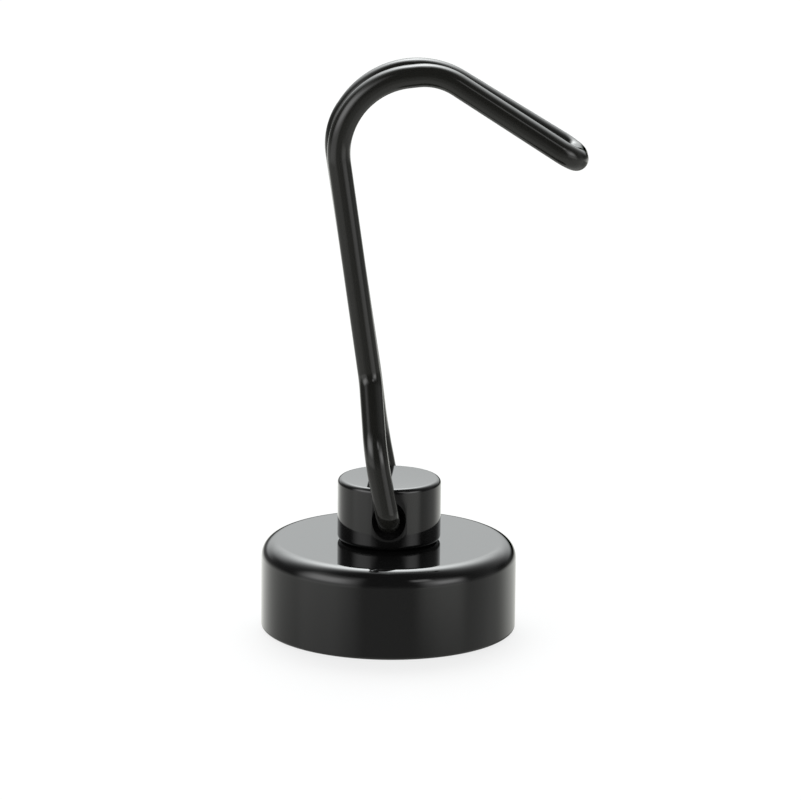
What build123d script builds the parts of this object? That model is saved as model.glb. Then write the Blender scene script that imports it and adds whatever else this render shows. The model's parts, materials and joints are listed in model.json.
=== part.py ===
from build123d import *
import os

# Small magnetic swivel hook: a pot magnet with a turning head and a folded wire hook.
#
# The origin is the centre of the magnetic face, +Z runs up through the swivel head, +X is
# the side on which the hook's tip lies, and the head's cross bore runs along Y. All sizes
# are in millimetres, and angles in degrees.

# ---- pot: a steel cup with its mouth down ----
pot_radius = 10.0
pot_height = 7.0
pot_top_fillet = 1.35
pot_foot_round = 0.25
pocket_radius = 8.6
pocket_depth = 4.3
pocket_mouth_break = 0.15
recess_radius = 3.3
roof_web = 1.4

# ---- magnet and the epoxy that holds it ----
magnet_radius = 8.0
magnet_height = 4.2
magnet_edge_radius = 0.2
epoxy_sink = 0.25

# ---- swivel head ----
head_radius = 4.05
head_top = 12.0
head_top_round = 0.4
head_bottom_break = 0.4
head_running_gap = 0.05

# ---- shoulder screw and thrust washer, hidden in the cup's recess ----
screw_head_radius = 2.6
screw_head_height = 0.95
screw_head_round = 0.2
shoulder_radius = 1.5
shoulder_clearance = 0.05
thread_radius = 1.25
thread_end_break = 0.16
thread_top = 10.0
thread_hole_spare = 0.3
hex_sides = 6
hex_inner_radius = 0.75
hex_depth = 0.6
washer_radius = 3.0
washer_thickness = 0.3

# ---- cross bore that carries the hook ----
pivot_height = 9.5
wire_radius = 0.9
bore_clearance = 0.05
bore_mouth_radius = 1.55
bore_mouth_angle = 90

# ---- hook: one wire folded double, its ends spread into a yoke ----
wire_end_from_axis = 1.6
wire_end_break = 0.12
leg_offset = 5.05
pivot_bend_radius = 1.05
leg_middle = (-0.78, 13.5)
leg_middle_radius = 12.0
shoulder_corner = (-1.10, 15.35)
shoulder_bend_radius = 3.5
strand_offset = 0.93
neck_corner = (-1.54, 19.9)
neck_bend_radius = 2.2
tip_corner = (14.20, 37.56)
tip_offset = 2.2
tip_bend_radius = 1.42
# The front strand and the back strand do not run quite side by side round the top bend:
# each has its own corners, as (x, z), and its own bend radii.
front_back_corner = (-4.95, 43.11)
front_back_radius = 6.05
front_crest_corner = (3.58, 44.15)
front_crest_radius = 4.8
rear_back_corner = (-4.57, 39.48)
rear_back_radius = 4.9
rear_crest_corner = (0.14, 46.26)
rear_crest_radius = 6.2

# ---- worked out from the sizes above ----
recess_top = pot_height - roof_web
washer_bottom = recess_top - washer_thickness
screw_head_top = washer_bottom - shoulder_clearance
screw_head_bottom = screw_head_top - screw_head_height
head_bottom = pot_height + head_running_gap
bore_radius = wire_radius + bore_clearance

os.makedirs("parts", exist_ok=True)


def strand_corners(side, back_corner, crest_corner):
    """Corners of one strand from its end in the bore up to the tip, on one side of the hook."""
    return [
        (0, side * wire_end_from_axis, pivot_height),
        (0, side * leg_offset, pivot_height),
        (leg_middle[0], side * leg_offset, leg_middle[1]),
        (shoulder_corner[0], side * leg_offset, shoulder_corner[1]),
        (neck_corner[0], side * strand_offset, neck_corner[1]),
        (back_corner[0], side * strand_offset, back_corner[1]),
        (crest_corner[0], side * strand_offset, crest_corner[1]),
        (tip_corner[0], side * tip_offset, tip_corner[1]),
    ]


def strand_radii(back_radius, crest_radius):
    """Bend radii of one strand, in the order of its corners."""
    return [
        pivot_bend_radius,
        leg_middle_radius,
        shoulder_bend_radius,
        neck_bend_radius,
        back_radius,
        crest_radius,
        tip_bend_radius,
    ]


# Pot cup: turned from the solid, with a pocket for the magnet and a recess for the screw.
with BuildPart() as pot_cup:
    with BuildSketch():
        Circle(pot_radius)
    extrude(amount=pot_height)
    fillet(pot_cup.edges().group_by(Axis.Z)[-1], pot_top_fillet)
    fillet(pot_cup.edges().group_by(Axis.Z)[0], pot_foot_round)
    with BuildSketch():
        Circle(pocket_radius)
    extrude(amount=pocket_depth, mode=Mode.SUBTRACT)
    with BuildSketch(Plane.XY.offset(pocket_depth)):
        Circle(recess_radius)
    extrude(amount=recess_top - pocket_depth, mode=Mode.SUBTRACT)
    with Locations((0, 0, pot_height)):
        Hole(shoulder_radius + shoulder_clearance)
    pocket_mouth = pot_cup.edges().group_by(Axis.Z)[0].sort_by(SortBy.RADIUS)[0]
    chamfer(pocket_mouth, pocket_mouth_break)

# Disc magnet: its lower face is the magnetic face.
with BuildPart() as disc_magnet:
    with BuildSketch():
        Circle(magnet_radius)
    extrude(amount=magnet_height)
    fillet(disc_magnet.edges().filter_by(GeomType.CIRCLE), magnet_edge_radius)

# Epoxy: a ring round the magnet and a thin bond between the magnet and the cup's roof.
with BuildPart() as epoxy_ring:
    with BuildSketch(Plane.XY.offset(epoxy_sink)):
        Circle(pocket_radius)
        Circle(magnet_radius, mode=Mode.SUBTRACT)
    extrude(amount=pocket_depth - epoxy_sink)
    with BuildSketch(Plane.XY.offset(magnet_height)):
        Circle(magnet_radius)
        Circle(recess_radius, mode=Mode.SUBTRACT)
    extrude(amount=pocket_depth - magnet_height)

# Thrust washer: lies against the roof of the recess.
with BuildPart() as thrust_washer:
    with BuildSketch(Plane.XY.offset(washer_bottom)):
        Circle(washer_radius)
        Circle(shoulder_radius + shoulder_clearance, mode=Mode.SUBTRACT)
    extrude(amount=washer_thickness)

# Shoulder screw: hex socket head, plain shoulder that runs in the cup, threaded end.
with BuildPart() as shoulder_screw:
    with BuildSketch(Plane.XY.offset(screw_head_bottom)):
        Circle(screw_head_radius)
    extrude(amount=screw_head_height)
    fillet(shoulder_screw.edges().group_by(Axis.Z)[0], screw_head_round)
    with BuildSketch(Plane.XY.offset(screw_head_top)):
        Circle(shoulder_radius)
    extrude(amount=head_bottom - screw_head_top)
    with BuildSketch(Plane.XY.offset(head_bottom)):
        Circle(thread_radius)
    extrude(amount=thread_top - head_bottom)
    chamfer(shoulder_screw.edges().group_by(Axis.Z)[-1], thread_end_break)
    with BuildSketch(Plane.XY.offset(screw_head_bottom)):
        RegularPolygon(hex_inner_radius, hex_sides, major_radius=False)
    extrude(amount=hex_depth, mode=Mode.SUBTRACT)

# Swivel head: plain round post, tapped from below and drilled across for the hook.
with BuildPart() as swivel_head:
    with BuildSketch(Plane.XY.offset(head_bottom)):
        Circle(head_radius)
    extrude(amount=head_top - head_bottom)
    fillet(swivel_head.edges().group_by(Axis.Z)[-1], head_top_round)
    chamfer(swivel_head.edges().group_by(Axis.Z)[0], head_bottom_break)
    with BuildSketch(Plane.XY.offset(head_bottom)):
        Circle(thread_radius)
    extrude(amount=thread_top + thread_hole_spare - head_bottom, mode=Mode.SUBTRACT)
    for outward in ((0, -1, 0), (0, 1, 0)):
        mouth = Plane(
            origin=(0, head_radius * outward[1], pivot_height), x_dir=(1, 0, 0), z_dir=outward
        )
        with Locations(mouth):
            CounterSinkHole(bore_radius, bore_mouth_radius, head_radius, bore_mouth_angle)

# Wire hook: one round wire swept along its centreline, from one end in the cross bore,
# up the front strand, round the tip and back down the rear strand.
front_corners = strand_corners(-1, front_back_corner, front_crest_corner)
rear_corners = strand_corners(1, rear_back_corner, rear_crest_corner)
hook_corners = front_corners + rear_corners[::-1]
hook_radii = strand_radii(front_back_radius, front_crest_radius)
hook_radii += strand_radii(rear_back_radius, rear_crest_radius)[::-1]

with BuildPart() as wire_hook:
    with BuildLine() as hook_line:
        FilletPolyline(*hook_corners, radius=hook_radii)
    with BuildSketch(Plane(origin=hook_line.line @ 0, z_dir=hook_line.line % 0)):
        Circle(wire_radius)
    sweep(path=hook_line.line)
    wire_ends = wire_hook.faces().filter_by(GeomType.PLANE).filter_by(Axis.Y)
    chamfer(wire_ends.edges(), wire_end_break)

pot_cup.part.label = "pot_cup"
disc_magnet.part.label = "disc_magnet"
epoxy_ring.part.label = "epoxy_ring"
thrust_washer.part.label = "thrust_washer"
shoulder_screw.part.label = "shoulder_screw"
swivel_head.part.label = "swivel_head"
wire_hook.part.label = "wire_hook"

export_step(pot_cup.part, "parts/pot_cup.step")
export_step(disc_magnet.part, "parts/disc_magnet.step")
export_step(epoxy_ring.part, "parts/epoxy_ring.step")
export_step(thrust_washer.part, "parts/thrust_washer.step")
export_step(shoulder_screw.part, "parts/shoulder_screw.step")
export_step(swivel_head.part, "parts/swivel_head.step")
export_step(wire_hook.part, "parts/wire_hook.step")
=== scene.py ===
"""Looks of the magnetic swivel hook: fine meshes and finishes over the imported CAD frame."""

import json
import math

import bpy
from mathutils import Matrix, Vector

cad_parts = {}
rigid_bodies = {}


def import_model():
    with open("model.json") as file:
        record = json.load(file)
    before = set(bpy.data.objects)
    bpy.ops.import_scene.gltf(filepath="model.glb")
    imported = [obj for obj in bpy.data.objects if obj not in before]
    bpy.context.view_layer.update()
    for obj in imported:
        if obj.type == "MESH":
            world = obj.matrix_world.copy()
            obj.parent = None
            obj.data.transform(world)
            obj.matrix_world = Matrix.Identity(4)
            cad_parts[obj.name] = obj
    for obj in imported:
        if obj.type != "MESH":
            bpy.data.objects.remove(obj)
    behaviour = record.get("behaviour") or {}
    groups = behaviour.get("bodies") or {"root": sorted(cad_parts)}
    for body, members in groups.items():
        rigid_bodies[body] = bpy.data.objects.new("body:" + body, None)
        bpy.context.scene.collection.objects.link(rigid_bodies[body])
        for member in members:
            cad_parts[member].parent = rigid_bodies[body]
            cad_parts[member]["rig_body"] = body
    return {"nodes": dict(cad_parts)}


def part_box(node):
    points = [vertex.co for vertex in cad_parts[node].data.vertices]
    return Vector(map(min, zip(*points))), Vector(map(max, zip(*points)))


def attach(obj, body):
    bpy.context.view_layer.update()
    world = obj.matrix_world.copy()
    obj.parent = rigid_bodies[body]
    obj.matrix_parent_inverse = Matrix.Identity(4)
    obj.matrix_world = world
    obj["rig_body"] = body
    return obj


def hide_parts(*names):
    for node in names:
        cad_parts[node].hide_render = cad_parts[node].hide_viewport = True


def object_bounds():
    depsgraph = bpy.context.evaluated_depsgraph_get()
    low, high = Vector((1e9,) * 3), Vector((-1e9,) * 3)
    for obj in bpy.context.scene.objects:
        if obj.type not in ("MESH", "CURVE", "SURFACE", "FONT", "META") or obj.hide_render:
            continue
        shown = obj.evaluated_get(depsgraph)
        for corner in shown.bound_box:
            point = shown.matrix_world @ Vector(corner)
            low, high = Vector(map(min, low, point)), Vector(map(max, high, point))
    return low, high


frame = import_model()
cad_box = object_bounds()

# Meshes are made in millimetres, the unit of the sizes below, and scaled to metres at the end.
MM = 0.001

# ---- edge roundings of the turned pieces ----
FINE_EDGE = 0.05
POT_TOP_ROUND = 1.35
POT_FOOT_ROUND = 0.25
POCKET_MOUTH_ROUND = 0.15
HEAD_TOP_ROUND = 0.4
HEAD_FOOT_ROUND = 0.4
MAGNET_EDGE_ROUND = 0.2
EPOXY_MENISCUS = 0.12
BORE_MOUTH_ROUND = 0.06

# ---- inside of the cup ----
POCKET_RADIUS = 8.6
RECESS_RADIUS = 3.3
RECESS_TOP = 5.6
SHOULDER_HOLE_RADIUS = 1.55

# ---- inside of the head ----
PIVOT_HEIGHT = 9.5
BORE_RADIUS = 0.95
BORE_MOUTH_RADIUS = 1.55
THREAD_HOLE_RADIUS = 1.25
THREAD_HOLE_TOP = 10.3
CUTTER_SPARE = 1.0

# ---- hook wire: corners of one strand as (x, z), from the cross bore to the tip ----
WIRE_RADIUS = 0.9
WIRE_END_FROM_AXIS = 1.6
WIRE_END_BREAK = 0.12
LEG_OFFSET = 5.05
PIVOT_BEND_RADIUS = 1.05
LEG_MIDDLE = (-0.78, 13.5)
LEG_MIDDLE_RADIUS = 12.0
SHOULDER_CORNER = (-1.10, 15.35)
SHOULDER_BEND_RADIUS = 3.5
STRAND_OFFSET = 0.93
NECK_CORNER = (-1.54, 19.9)
NECK_BEND_RADIUS = 2.2
TIP_CORNER = (14.20, 37.56)
TIP_OFFSET = 2.2
TIP_BEND_RADIUS = 1.42
# Round the top bend each strand has its own corners and its own bend radii.
FRONT_TOP = ((-4.95, 43.11), 6.05, (3.58, 44.15), 4.8)
REAR_TOP = ((-4.57, 39.48), 4.9, (0.14, 46.26), 6.2)

# ---- fineness of the meshes ----
LATHE_STEPS = 192
ROUND_STEPS = 10
WIRE_SIDES = 48
BEND_STEP = math.radians(2.5)
SHARP_ANGLE = math.radians(32)
BEVEL_STEPS = 3
ON_AXIS = 1e-6


# ---------------------------------------------------------------- mesh tools


def corner_arc(before, corner, after, radius, steps):
    """Points of the arc that rounds one corner of a line, from its start to its end."""
    back = (before - corner).normalized()
    ahead = (after - corner).normalized()
    half = back.angle(ahead) / 2
    centre = corner + (back + ahead).normalized() * radius / math.sin(half)
    start = corner + back * radius / math.tan(half) - centre
    end = corner + ahead * radius / math.tan(half) - centre
    turn = math.pi - 2 * half
    points = []
    for step in range(steps + 1):
        share = step / steps
        weight_start = math.sin((1 - share) * turn) / math.sin(turn)
        weight_end = math.sin(share * turn) / math.sin(turn)
        points.append(centre + start * weight_start + end * weight_end)
    return points


def rounded_line(corners, radii, steps=None):
    """A line through 3-D corners, each inner corner rounded with its own radius."""
    corners = [Vector(corner) for corner in corners]
    line = [corners[0]]
    for before, corner, after, radius in zip(corners, corners[1:], corners[2:], radii):
        turn = math.pi - (before - corner).angle(after - corner)
        count = steps or max(3, round(turn / BEND_STEP))
        line += corner_arc(before, corner, after, radius, count)
    line.append(corners[-1])
    return line


def new_object(name, points, faces):
    """A smooth-shaded mesh object made from points and faces, still in millimetres."""
    mesh = bpy.data.meshes.new(name)
    mesh.from_pydata([tuple(point) for point in points], [], faces)
    mesh.validate()
    mesh.polygons.foreach_set("use_smooth", [True] * len(mesh.polygons))
    mesh.set_sharp_from_angle(angle=SHARP_ANGLE)
    obj = bpy.data.objects.new(name, mesh)
    bpy.context.scene.collection.objects.link(obj)
    return obj


def lathe(name, corners, closed):
    """Turns a profile of (radius, height, rounding) corners about the Z axis.

    A closed profile is a ring. An open one starts and ends on the axis."""
    flat = [Vector((radius, 0, height)) for radius, height, rounding in corners]
    roundings = [rounding for radius, height, rounding in corners]
    if closed:
        middle = (flat[0] + flat[-1]) / 2
        line = rounded_line([middle] + flat + [middle], roundings, ROUND_STEPS)[:-1]
    else:
        line = rounded_line(flat, roundings[1:-1], ROUND_STEPS)
    points = []
    rings = []
    for spot in line:
        on_axis = spot.x < ON_AXIS
        ring = []
        for step in range(1 if on_axis else LATHE_STEPS):
            angle = 2 * math.pi * step / LATHE_STEPS
            ring.append(len(points))
            points.append((spot.x * math.cos(angle), spot.x * math.sin(angle), spot.z))
        rings.append(ring)
    faces = []
    pairs = list(zip(rings, rings[1:]))
    if closed:
        pairs.append((rings[-1], rings[0]))
    for first, second in pairs:
        for step in range(LATHE_STEPS):
            after = (step + 1) % LATHE_STEPS
            face = [
                first[step % len(first)],
                first[after % len(first)],
                second[after % len(second)],
                second[step % len(second)],
            ]
            faces.append(list(dict.fromkeys(face)))
    return new_object(name, points, faces)


def tube(name, line, radius, end_break):
    """A round wire along a line of points, with flat ends whose edges are broken."""
    tangents = []
    for index in range(len(line)):
        before = line[max(index - 1, 0)]
        after = line[min(index + 1, len(line) - 1)]
        here = line[index]
        way_in = (here - before).normalized() if index else (after - here).normalized()
        way_out = (after - here).normalized() if index < len(line) - 1 else way_in
        tangents.append((way_in + way_out).normalized())
    side = tangents[0].orthogonal().normalized()
    stations = [(line[0], radius - end_break), (line[0] + tangents[0] * end_break, radius)]
    stations += [(spot, radius) for spot in line[1:-1]]
    stations += [(line[-1] - tangents[-1] * end_break, radius), (line[-1], radius - end_break)]
    ways = [tangents[0]] + tangents[:-1] + [tangents[-1], tangents[-1]]
    points = []
    for (centre, size), way in zip(stations, ways):
        side = (side - way * side.dot(way)).normalized()
        across = way.cross(side)
        for step in range(WIRE_SIDES):
            angle = 2 * math.pi * step / WIRE_SIDES
            points.append(centre + (side * math.cos(angle) + across * math.sin(angle)) * size)
    faces = []
    for ring in range(len(stations) - 1):
        for step in range(WIRE_SIDES):
            after = (step + 1) % WIRE_SIDES
            first = ring * WIRE_SIDES
            second = first + WIRE_SIDES
            faces.append((first + step, first + after, second + after, second + step))
    last = (len(stations) - 1) * WIRE_SIDES
    faces.append(tuple(reversed(range(WIRE_SIDES))))
    faces.append(tuple(range(last, last + WIRE_SIDES)))
    return new_object(name, points, faces)


def apply_modifiers(obj):
    """Bakes an object's modifiers into its mesh."""
    bpy.context.view_layer.update()
    graph = bpy.context.evaluated_depsgraph_get()
    mesh = bpy.data.meshes.new_from_object(obj.evaluated_get(graph))
    obj.modifiers.clear()
    obj.data = mesh


def place(obj, node, material):
    """Scales a finished piece to metres and puts it in its CAD node's place."""
    obj.data.transform(Matrix.Scale(MM, 4))
    obj.data.materials.clear()
    obj.data.materials.append(material)
    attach(obj, frame["nodes"][node]["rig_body"])
    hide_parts(node)


# ---------------------------------------------------------------- materials


def new_material(name, color, metallic, roughness):
    """A principled material and its node tree, ready for its own detail."""
    material = bpy.data.materials.new(name)
    material.use_nodes = True
    tree = material.node_tree
    shader = tree.nodes["Principled BSDF"]
    shader.inputs["Base Color"].default_value = (*color, 1)
    shader.inputs["Metallic"].default_value = metallic
    shader.inputs["Roughness"].default_value = roughness
    return material, tree, shader


def object_noise(tree, scale, detail, stretch=(1, 1, 1)):
    """Noise fixed to the object, with scale in features per metre."""
    place_node = tree.nodes.new("ShaderNodeTexCoord")
    mapping = tree.nodes.new("ShaderNodeMapping")
    mapping.inputs["Scale"].default_value = stretch
    noise = tree.nodes.new("ShaderNodeTexNoise")
    noise.inputs["Scale"].default_value = scale
    noise.inputs["Detail"].default_value = detail
    tree.links.new(place_node.outputs["Object"], mapping.inputs["Vector"])
    tree.links.new(mapping.outputs["Vector"], noise.inputs["Vector"])
    return noise.outputs["Fac"]


def spread(tree, value, low, high):
    """Maps the middle of a noise's range onto low to high."""
    mapped = tree.nodes.new("ShaderNodeMapRange")
    mapped.inputs["From Min"].default_value = 0.3
    mapped.inputs["From Max"].default_value = 0.7
    mapped.inputs["To Min"].default_value = low
    mapped.inputs["To Max"].default_value = high
    tree.links.new(value, mapped.inputs["Value"])
    return mapped.outputs["Result"]


def add_bump(tree, shader, height, distance):
    """Raises the surface by a height from 0 to 1, times a distance in metres."""
    bump = tree.nodes.new("ShaderNodeBump")
    bump.inputs["Distance"].default_value = distance
    tree.links.new(height, bump.inputs["Height"])
    tree.links.new(bump.outputs["Normal"], shader.inputs["Normal"])


def gloss_black(name, color, roughness, orange_peel):
    """Gloss black coating: deep black under a clear shine, with a faint orange peel."""
    material, tree, shader = new_material(name, color, metallic=0.0, roughness=roughness[0])
    shader.inputs["IOR"].default_value = 1.5
    mottle = object_noise(tree, scale=900, detail=4)
    tree.links.new(spread(tree, mottle, *roughness), shader.inputs["Roughness"])
    add_bump(tree, shader, object_noise(tree, scale=1600, detail=2), orange_peel)
    return material


def nickel_plate():
    """Bright nickel plate with a fine turned grain and faint rubbing marks."""
    color = (0.64, 0.61, 0.56)
    material, tree, shader = new_material("nickel_plate", color, metallic=1.0, roughness=0.2)
    place_node = tree.nodes.new("ShaderNodeTexCoord")
    flat = tree.nodes.new("ShaderNodeVectorMath")
    flat.operation = "MULTIPLY"
    flat.inputs[1].default_value = (1, 1, 0)
    reach = tree.nodes.new("ShaderNodeVectorMath")
    reach.operation = "LENGTH"
    rings = tree.nodes.new("ShaderNodeTexNoise")
    rings.noise_dimensions = "1D"
    rings.inputs["Scale"].default_value = 9000
    rings.inputs["Detail"].default_value = 3
    tree.links.new(place_node.outputs["Object"], flat.inputs[0])
    tree.links.new(flat.outputs["Vector"], reach.inputs[0])
    tree.links.new(reach.outputs["Value"], rings.inputs["W"])
    rubbing = object_noise(tree, scale=500, detail=6, stretch=(1, 7, 1))
    tree.links.new(spread(tree, rubbing, low=0.14, high=0.3), shader.inputs["Roughness"])
    add_bump(tree, shader, rings.outputs["Fac"], distance=1.5e-6)
    return material


def black_epoxy():
    """Cured black epoxy: satin, a little uneven where it was poured."""
    color = (0.012, 0.012, 0.013)
    material, tree, shader = new_material("black_epoxy", color, metallic=0.0, roughness=0.3)
    mottle = object_noise(tree, scale=700, detail=5)
    tree.links.new(spread(tree, mottle, low=0.22, high=0.42), shader.inputs["Roughness"])
    add_bump(tree, shader, object_noise(tree, scale=450, detail=3), distance=3e-5)
    return material


def plain_steel():
    """Turned steel of the hidden screw and washer."""
    color = (0.52, 0.51, 0.49)
    material, tree, shader = new_material("plain_steel", color, metallic=1.0, roughness=0.35)
    grain = object_noise(tree, scale=1200, detail=4, stretch=(1, 1, 12))
    tree.links.new(spread(tree, grain, low=0.25, high=0.45), shader.inputs["Roughness"])
    add_bump(tree, shader, grain, distance=2e-6)
    return material


# ---------------------------------------------------------------- pieces


def size_of(node):
    """Outer radius, lowest and highest height of a round CAD node, in millimetres."""
    low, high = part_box(node)
    return high[0] / MM, low[2] / MM, high[2] / MM


def make_pot_cup():
    radius, foot, top = size_of("pot_cup")
    pocket_top = size_of("epoxy_ring")[2]
    corners = [
        (radius, foot, POT_FOOT_ROUND),
        (radius, top, POT_TOP_ROUND),
        (SHOULDER_HOLE_RADIUS, top, FINE_EDGE),
        (SHOULDER_HOLE_RADIUS, RECESS_TOP, FINE_EDGE),
        (RECESS_RADIUS, RECESS_TOP, FINE_EDGE),
        (RECESS_RADIUS, pocket_top, FINE_EDGE),
        (POCKET_RADIUS, pocket_top, FINE_EDGE),
        (POCKET_RADIUS, foot, POCKET_MOUTH_ROUND),
    ]
    return lathe("pot_cup_shell", corners, closed=True)


def make_disc_magnet():
    radius, face, back = size_of("disc_magnet")
    corners = [
        (0, face, 0),
        (radius, face, MAGNET_EDGE_ROUND),
        (radius, back, MAGNET_EDGE_ROUND),
        (0, back, 0),
    ]
    return lathe("disc_magnet_plated", corners, closed=False)


def make_epoxy_ring():
    outer, face, roof = size_of("epoxy_ring")
    inner, magnet_back = size_of("disc_magnet")[::2]
    corners = [
        (outer, face, FINE_EDGE),
        (outer, roof, FINE_EDGE),
        (RECESS_RADIUS, roof, FINE_EDGE / 2),
        (RECESS_RADIUS, magnet_back, FINE_EDGE / 2),
        (inner, magnet_back, FINE_EDGE),
        (inner, face, FINE_EDGE),
        ((inner + outer) / 2, face + EPOXY_MENISCUS, (outer - inner) / 2),
    ]
    return lathe("epoxy_ring_poured", corners, closed=True)


def make_swivel_head():
    radius, foot, top = size_of("swivel_head")
    corners = [
        (0, THREAD_HOLE_TOP, 0),
        (THREAD_HOLE_RADIUS, THREAD_HOLE_TOP, FINE_EDGE),
        (THREAD_HOLE_RADIUS, foot, FINE_EDGE),
        (radius, foot, HEAD_FOOT_ROUND),
        (radius, top, HEAD_TOP_ROUND),
        (0, top, 0),
    ]
    head = lathe("swivel_head_post", corners, closed=False)
    reach = radius + CUTTER_SPARE
    wide = BORE_MOUTH_RADIUS + CUTTER_SPARE
    cone = radius - (BORE_MOUTH_RADIUS - BORE_RADIUS)
    cutter_corners = [
        (0, -reach, 0),
        (wide, -reach, FINE_EDGE),
        (BORE_RADIUS, -cone, FINE_EDGE),
        (BORE_RADIUS, cone, FINE_EDGE),
        (wide, reach, FINE_EDGE),
        (0, reach, 0),
    ]
    cutter = lathe("cross_bore_cutter", cutter_corners, closed=False)
    cutter.data.transform(Matrix.Rotation(math.pi / 2, 4, "X"))
    cutter.data.transform(Matrix.Translation((0, 0, PIVOT_HEIGHT)))
    cut = head.modifiers.new("cross_bore", "BOOLEAN")
    cut.operation = "DIFFERENCE"
    cut.solver = "EXACT"
    cut.object = cutter
    edge = head.modifiers.new("mouth_edge", "BEVEL")
    edge.limit_method = "ANGLE"
    edge.angle_limit = SHARP_ANGLE
    edge.width = BORE_MOUTH_ROUND
    edge.segments = BEVEL_STEPS
    apply_modifiers(head)
    bpy.data.objects.remove(cutter)
    return head


def strand(side, top):
    """Corners and bend radii of one strand, from its end in the bore up to the tip."""
    back_corner, back_radius, crest_corner, crest_radius = top
    corners = [
        (0, side * WIRE_END_FROM_AXIS, PIVOT_HEIGHT),
        (0, side * LEG_OFFSET, PIVOT_HEIGHT),
        (LEG_MIDDLE[0], side * LEG_OFFSET, LEG_MIDDLE[1]),
        (SHOULDER_CORNER[0], side * LEG_OFFSET, SHOULDER_CORNER[1]),
        (NECK_CORNER[0], side * STRAND_OFFSET, NECK_CORNER[1]),
        (back_corner[0], side * STRAND_OFFSET, back_corner[1]),
        (crest_corner[0], side * STRAND_OFFSET, crest_corner[1]),
        (TIP_CORNER[0], side * TIP_OFFSET, TIP_CORNER[1]),
    ]
    radii = [
        PIVOT_BEND_RADIUS,
        LEG_MIDDLE_RADIUS,
        SHOULDER_BEND_RADIUS,
        NECK_BEND_RADIUS,
        back_radius,
        crest_radius,
        TIP_BEND_RADIUS,
    ]
    return corners, radii


def make_wire_hook():
    front_corners, front_radii = strand(-1, FRONT_TOP)
    rear_corners, rear_radii = strand(1, REAR_TOP)
    line = rounded_line(front_corners + rear_corners[::-1], front_radii + rear_radii[::-1])
    return tube("wire_hook_bent", line, WIRE_RADIUS, WIRE_END_BREAK)


def weight_normals(obj):
    """Lets the large faces rule the shading, so that flats stay flat in reflections."""
    weighted = obj.modifiers.new("weighted_normals", "WEIGHTED_NORMAL")
    weighted.keep_sharp = True
    weighted.weight = 100


# ---------------------------------------------------------------- light, floor and camera


DEGREES = 180 / math.pi


class Sky:
    """Radiance round the object, summed from soft lobes in azimuth and elevation.

    Azimuth 0 is the front (-Y), positive to +X. Angles are in degrees."""

    def __init__(self, tree):
        self.tree = tree
        split = tree.nodes.new("ShaderNodeSeparateXYZ")
        self.direction = tree.nodes.new("ShaderNodeTexCoord").outputs["Generated"]
        tree.links.new(self.direction, split.inputs["Vector"])
        self.elevation = self.math("MULTIPLY", self.math("ARCSINE", split.outputs["Z"]), DEGREES)

    def math(self, operation, first, second=None):
        """One Math node. Each argument is a number or another node's output."""
        node = self.tree.nodes.new("ShaderNodeMath")
        node.operation = operation
        for socket, value in zip(node.inputs, (first, second)):
            if isinstance(value, bpy.types.NodeSocket):
                self.tree.links.new(value, socket)
            elif value is not None:
                socket.default_value = value
        return node.outputs["Value"]

    def along(self, axis):
        """The direction's share along one axis."""
        node = self.tree.nodes.new("ShaderNodeVectorMath")
        node.operation = "DOT_PRODUCT"
        node.inputs[1].default_value = axis
        self.tree.links.new(self.direction, node.inputs[0])
        return node.outputs["Value"]

    def falloff(self, offset, width, edge):
        """(offset / width) to the power of edge: a higher edge makes a flatter, crisper lobe."""
        share = self.math("DIVIDE", self.math("ABSOLUTE", offset), width)
        return self.math("POWER", share, edge)

    def lobe(self, azimuth, elevation, width, height, edge, strength):
        """One soft light round a direction."""
        turn = math.radians(azimuth)
        ahead = self.along((math.sin(turn), -math.cos(turn), 0))
        aside = self.along((math.cos(turn), math.sin(turn), 0))
        swing = self.math("MULTIPLY", self.math("ARCTAN2", aside, ahead), DEGREES)
        rise = self.math("SUBTRACT", self.elevation, elevation)
        fall = self.math("ADD", self.falloff(swing, width, edge), self.falloff(rise, height, edge))
        share = self.math("POWER", math.e, self.math("MULTIPLY", fall, -1))
        return self.math("MULTIPLY", share, strength)

    def total(self, lobes, start=0.0):
        """Sum of several lobes on top of an even glow."""
        value = start
        for settings in lobes:
            value = self.math("ADD", self.lobe(*settings), value)
        return value

    def below(self, low, high):
        """1 below the elevation low, 0 above the elevation high, and smooth in between."""
        node = self.tree.nodes.new("ShaderNodeMapRange")
        node.interpolation_type = "SMOOTHSTEP"
        node.inputs["From Min"].default_value = low
        node.inputs["From Max"].default_value = high
        node.inputs["To Min"].default_value = 1
        node.inputs["To Max"].default_value = 0
        self.tree.links.new(self.elevation, node.inputs["Value"])
        return node.outputs["Result"]

    def tinted(self, value, color):
        """A radiance with a tint."""
        node = self.tree.nodes.new("ShaderNodeVectorMath")
        node.operation = "SCALE"
        node.inputs[0].default_value = color
        self.tree.links.new(value, node.inputs["Scale"])
        return node.outputs["Vector"]

    def plus(self, first, second):
        """Sum of two tinted radiances."""
        node = self.tree.nodes.new("ShaderNodeVectorMath")
        node.operation = "ADD"
        self.tree.links.new(first, node.inputs[0])
        self.tree.links.new(second, node.inputs[1])
        return node.outputs["Vector"]


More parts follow.
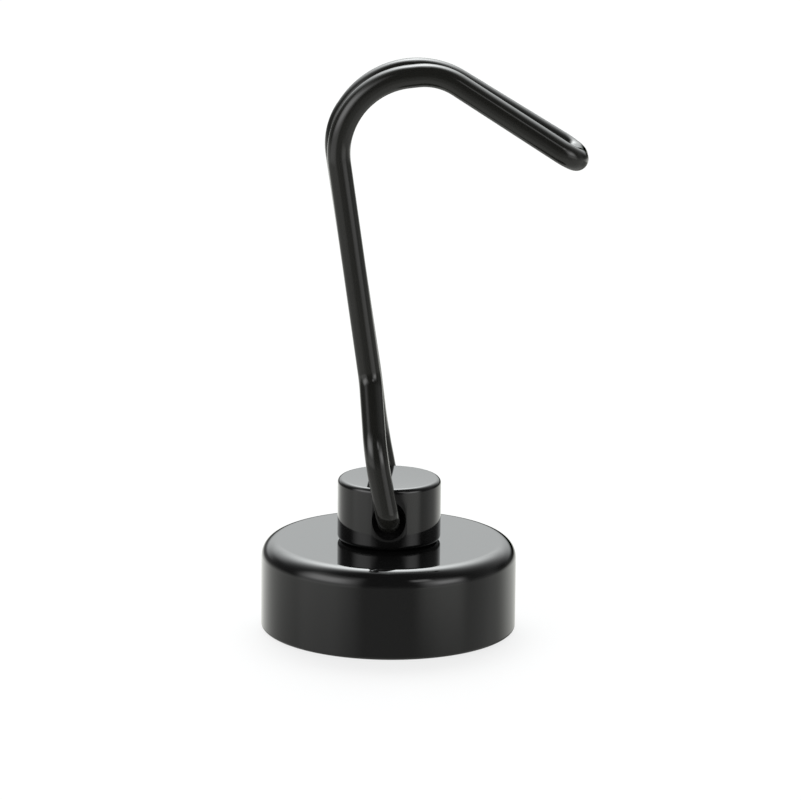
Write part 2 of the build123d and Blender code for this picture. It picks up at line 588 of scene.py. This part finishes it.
# Each light: azimuth, elevation, half width, half height, edge, strength. A negative
# strength is a flag: it takes light away.
BACK_LIGHTS = [
    (182, 54, 37, 18, 1.5, 11.8),  # overhead softbox behind the object, for the flat tops
    (187, 36, 46, 13, 4, 1.5),  # its lower apron
    (182, 15, 39, 10, 4.6, 1.2),  # rear strip above the horizon
]
SIDE_LIGHTS = [
    (-59, 21, 23, 16, 3, 2.6),  # left softbox
    (-57, 18, 31, 33, 8, 0.7),  # even surround of the left softbox
    (56, 12, 13, 9, 3.5, 1.6),  # right softbox
    (52, 10, 21, 19, 5, 1.1),  # even surround of the right softbox
    (46, 23, 16, 15, 2.6, 0.8),  # soft upper end of the right softbox
    (33, 37, 10, 7, 4, 1.8),  # small high lamp, for the wire's second highlight
    (136, 9, 35, 36, 1.5, 0.4),  # weak fill from behind on the right
    (151, -13, 40, 30, 6, -0.4),  # flag below that fill
]
FLOOR_LIGHTS = [
    (-1, -17, 44, 21, 8, -0.25),  # darker floor in front of the object
    (-80, -9, 48, 7, 8, 0.44),  # bright far floor on the left
    (50, -12, 23, 4, 5.5, 0.92),  # bright far floor on the right
    (174, -11, 57, 6, 4.6, 1.35),  # bright far floor behind
]
STUDIO_DIM = 0.05
FLOOR_GLOW = 0.52
# The floor's glow is full below the first elevation and gone above the second.
FLOOR_STARTS = (-26, 10)
BACK_TINT = (0.97, 1.0, 1.0)
SIDE_TINT = (1.0, 1.0, 1.0)
FLOOR_TINT = (1.0, 1.01, 0.97)
BACKDROP = 1.05


def make_world():
    """Soft studio light all round. The camera itself sees only a plain pale backdrop."""
    world = bpy.data.worlds.new("studio")
    bpy.context.scene.world = world
    world.use_nodes = True
    tree = world.node_tree
    tree.nodes.clear()
    sky = Sky(tree)
    below = sky.below(*FLOOR_STARTS)
    above = sky.math("SUBTRACT", 1, below)
    back = sky.math("MULTIPLY", sky.total(BACK_LIGHTS), above)
    sides = sky.total(SIDE_LIGHTS, STUDIO_DIM)
    floor_glow = sky.math("MULTIPLY", sky.total(FLOOR_LIGHTS, FLOOR_GLOW), below)
    radiance = sky.plus(sky.tinted(back, BACK_TINT), sky.tinted(sides, SIDE_TINT))
    radiance = sky.plus(radiance, sky.tinted(floor_glow, FLOOR_TINT))
    studio = tree.nodes.new("ShaderNodeBackground")
    tree.links.new(radiance, studio.inputs["Color"])
    backdrop = tree.nodes.new("ShaderNodeBackground")
    backdrop.inputs["Color"].default_value = (1, 1, 1, 1)
    backdrop.inputs["Strength"].default_value = BACKDROP
    rays = tree.nodes.new("ShaderNodeLightPath")
    chosen = tree.nodes.new("ShaderNodeMixShader")
    output = tree.nodes.new("ShaderNodeOutputWorld")
    tree.links.new(rays.outputs["Is Camera Ray"], chosen.inputs[0])
    tree.links.new(studio.outputs[0], chosen.inputs[1])
    tree.links.new(backdrop.outputs[0], chosen.inputs[2])
    tree.links.new(chosen.outputs[0], output.inputs["Surface"])


# The floor's sizes are in metres. It lies a hair below the magnetic face, and is lifted to
# the backdrop's brightness by a glow of its own.
FLOOR_RADIUS = 3.0
FLOOR_SIDES = 72
FLOOR_GAP = 2e-5
FLOOR_ALBEDO = 0.17
FLOOR_LIFT = 0.78


def make_floor():
    """A plain pale floor at the magnetic face, round the object."""
    color = (FLOOR_ALBEDO,) * 3
    floor_material, tree, shader = new_material("floor", color, metallic=0.0, roughness=0.9)
    shader.inputs["Specular IOR Level"].default_value = 0.0
    shader.inputs["Emission Color"].default_value = (1, 1, 1, 1)
    shader.inputs["Emission Strength"].default_value = FLOOR_LIFT
    corners = []
    for step in range(FLOOR_SIDES):
        angle = 2 * math.pi * step / FLOOR_SIDES
        corners.append((FLOOR_RADIUS * math.cos(angle), FLOOR_RADIUS * math.sin(angle), 0))
    floor = new_object("floor", corners, [tuple(range(FLOOR_SIDES))])
    floor.data.materials.append(floor_material)
    floor.location.z = cad_box[0][2] - FLOOR_GAP
    floor.visible_glossy = False


# The camera looks at this point, from this far (metres), this high above the horizon,
# rolled a little. The focal length and the sensor are in millimetres.
LOOK_AT = (0.00081, 0, 0.018207)
CAMERA_DISTANCE = 0.36778
CAMERA_ELEVATION = math.radians(13.41)
CAMERA_ROLL = math.radians(0.552)
FOCAL_LENGTH = 212.04
SENSOR_WIDTH = 36
NEAR_CLIP = 0.01
FAR_CLIP = 20


def make_camera():
    data = bpy.data.cameras.new("camera")
    data.lens = FOCAL_LENGTH
    data.sensor_width = SENSOR_WIDTH
    data.clip_start = NEAR_CLIP
    data.clip_end = FAR_CLIP
    camera = bpy.data.objects.new("camera", data)
    bpy.context.scene.collection.objects.link(camera)
    ahead = Vector((0, math.cos(CAMERA_ELEVATION), -math.sin(CAMERA_ELEVATION)))
    level = Vector((1, 0, 0))
    above = level.cross(ahead)
    right = level * math.cos(CAMERA_ROLL) + above * math.sin(CAMERA_ROLL)
    up = above * math.cos(CAMERA_ROLL) - level * math.sin(CAMERA_ROLL)
    turned = Matrix((right, up, -ahead)).transposed().to_4x4()
    spot = Vector(LOOK_AT) - ahead * CAMERA_DISTANCE
    camera.matrix_world = Matrix.Translation(spot) @ turned
    bpy.context.scene.camera = camera


# ---------------------------------------------------------------- the whole model

plating = gloss_black(
    "black_plating", color=(0.0055, 0.0055, 0.0055), roughness=(0.03, 0.06), orange_peel=3e-7
)
wire_coat = gloss_black(
    "black_wire_coat", color=(0.012, 0.012, 0.0105), roughness=(0.07, 0.12), orange_peel=5e-7
)
nickel = nickel_plate()
epoxy = black_epoxy()
steel = plain_steel()

for piece, cad_node, finish_slot, finish in (
    (make_pot_cup(), "pot_cup", "black_plating", plating),
    (make_disc_magnet(), "disc_magnet", "nickel_plate", nickel),
    (make_epoxy_ring(), "epoxy_ring", "black_epoxy", epoxy),
    (make_swivel_head(), "swivel_head", "black_plating", plating),
    (make_wire_hook(), "wire_hook", "black_wire_coat", wire_coat),
):
    weight_normals(piece)
    place(piece, cad_node, finish)

for hidden_node in ("thrust_washer", "shoulder_screw"):
    hidden = frame["nodes"][hidden_node]
    hidden.data.materials.clear()
    hidden.data.materials.append(steel)

make_world()
make_floor()
make_camera()
bpy.context.scene.view_settings.view_transform = "Standard"
